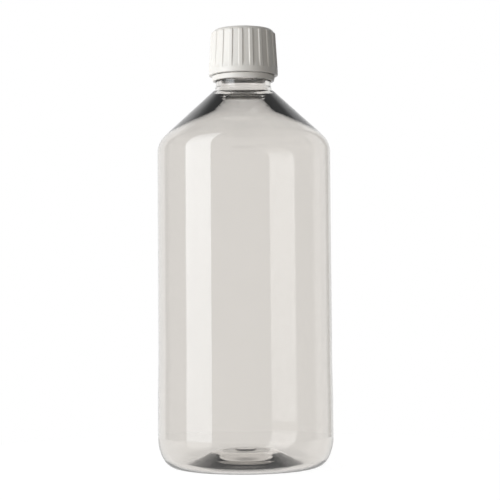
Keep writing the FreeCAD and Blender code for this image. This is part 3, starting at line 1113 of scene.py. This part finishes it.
def glow_mirrored(tree, place, pool):
    """The floor's painted glow in a mirror: dark in front, bright behind, and the pool of light."""
    behind = smooth_step(tree, place.outputs["Y"], PAINTED_REFLECTION_TURN_START, PAINTED_REFLECTION_TURN_END)
    behind = math_node(tree, "MULTIPLY", behind, FLOOR_GLOW - PAINTED_REFLECTION_FRONT)
    painted_sheen = math_node(tree, "ADD", math_node(tree, "MULTIPLY", pool, POOL_LIGHT), PAINTED_REFLECTION_FRONT)
    return math_node(tree, "ADD", painted_sheen, behind)


def glow_in_far_wall(tree, path, pool):
    """The painted pool as the far wall mirrors it out through the near one."""
    after_mirror = math_node(tree, "MINIMUM", path.outputs["Glossy Depth"], 1.0)
    after_mirror = math_node(tree, "MULTIPLY", path.outputs["Is Transmission Ray"], after_mirror)
    return math_node(tree, "MULTIPLY", math_node(tree, "MULTIPLY", pool, after_mirror),
                     FAR_POOL_LIGHT)


def floor_material():
    material, tree, shader = new_material("pale_floor")
    shader.inputs["Base Color"].default_value = (*FLOOR_COLOUR, 1)
    shader.inputs["Roughness"].default_value = FLOOR_ROUGHNESS
    shader.inputs["Specular IOR Level"].default_value = 0.0
    path = tree.nodes.new("ShaderNodeLightPath")
    where = tree.nodes.new("ShaderNodeTexCoord").outputs["Object"]
    place = tree.nodes.new("ShaderNodeSeparateXYZ")
    tree.links.new(where, place.inputs[0])
    reach = vector_node(tree, "LENGTH", where)

    near_pool = painted_light_pool(tree, place, reach, POOL_EYE)
    far_pool = painted_light_pool(tree, place, reach, FAR_POOL_EYE)
    straight = math_node(tree, "MAXIMUM", path.outputs["Is Camera Ray"],
                         path.outputs["Is Transmission Ray"])
    only_mirror = math_node(tree, "MULTIPLY", path.outputs["Is Glossy Ray"],
                            math_node(tree, "SUBTRACT", 1.0, straight))
    strength = math_node(tree, "ADD", glow_seen(tree, path), glow_in_far_wall(tree, path, far_pool))
    # In a mirror the glow is a painted reflection, with the painted pool in it.
    in_mirror = math_node(tree, "MULTIPLY", only_mirror, glow_mirrored(tree, place, near_pool))
    glow = tree.nodes.new("ShaderNodeEmission")
    tree.links.new(choose(tree, path.outputs["Is Camera Ray"], BACKDROP_THROUGH, WHITE),
                   glow.inputs["Color"])
    tree.links.new(math_node(tree, "ADD", strength, in_mirror), glow.inputs["Strength"])

    # Under the foot the glow is left out in a disc, which paints a shadow with a drawn edge there.
    away = math_node(tree, "MULTIPLY", smooth_step(tree, reach, LIFT_START, LIFT_END), FLOOR_LIFT)
    lifted = math_node(tree, "MAXIMUM", straight, path.outputs["Is Glossy Ray"])
    mix = tree.nodes.new("ShaderNodeMixShader")
    tree.links.new(math_node(tree, "MULTIPLY", lifted, away), mix.inputs[0])
    tree.links.new(shader.outputs[0], mix.inputs[1])
    tree.links.new(glow.outputs[0], mix.inputs[2])
    tree.links.new(mix.outputs[0], tree.nodes["Material Output"].inputs["Surface"])
    return material


pale_floor = floor_material()
print("floor material:", pale_floor.name, "with", len(pale_floor.node_tree.nodes), "nodes")

# %% [markdown]
# ## The floor
#
# A studio table for clear things is small, so that light comes from below its edge as well. A
# plane would be quicker to make. A disc looks the same from every side, which suits a bottle.

# %% The floor's disc
FLOOR_REACH = 0.19
FLOOR_SIDES = 96

floor_edge = []
for k in range(FLOOR_SIDES):
    angle = math.tau * k / FLOOR_SIDES
    floor_edge.append((FLOOR_REACH * math.cos(angle), FLOOR_REACH * math.sin(angle), 0))
floor_mesh = bpy.data.meshes.new("floor")
floor_mesh.from_pydata(floor_edge, [], [tuple(range(FLOOR_SIDES))])
floor_mesh.materials.append(pale_floor)
floor = bpy.data.objects.new("floor", floor_mesh)
bpy.context.scene.collection.objects.link(floor)
print("floor disc:", round(2 * FLOOR_REACH, 2), "m across")

# %% [markdown]
# ## Camera
#
# A long lens from three quarters of a metre, held at the height of the lower body and tipped up by
# two degrees. A shorter lens nearer by would pinch the bottle towards its cap. From this height the
# cap's underside just shows, and so does the floor of the bottle. Two matrices set the aim, since a
# Track To constraint would leave no room for the slight pan and roll.

# %% The camera
SENSOR = 36.0
CAMERA_LENS = 107.4
CAMERA_PLACE = Vector((0, -0.746, 0.0806))
CAMERA_NEAREST = 0.01
TILT_UP = math.radians(2.11)
PAN_RIGHT = math.radians(0.21)
ROLL = math.radians(-0.42)

camera_data = bpy.data.cameras.new("camera")
camera_data.sensor_width = SENSOR
camera_data.lens = CAMERA_LENS
camera_data.clip_start = CAMERA_NEAREST
camera = bpy.data.objects.new("camera", camera_data)
aim = Matrix.Rotation(-PAN_RIGHT, 4, "Z") @ Matrix.Rotation(math.pi / 2 + TILT_UP, 4, "X")
camera.matrix_world = Matrix.Translation(CAMERA_PLACE) @ aim @ Matrix.Rotation(ROLL, 4, "Z")
bpy.context.scene.collection.objects.link(camera)
bpy.context.scene.camera = camera
bpy.context.scene.view_settings.view_transform = "Standard"
print("camera:", CAMERA_LENS, "mm lens,", round(CAMERA_PLACE.length, 3), "m from the foot")
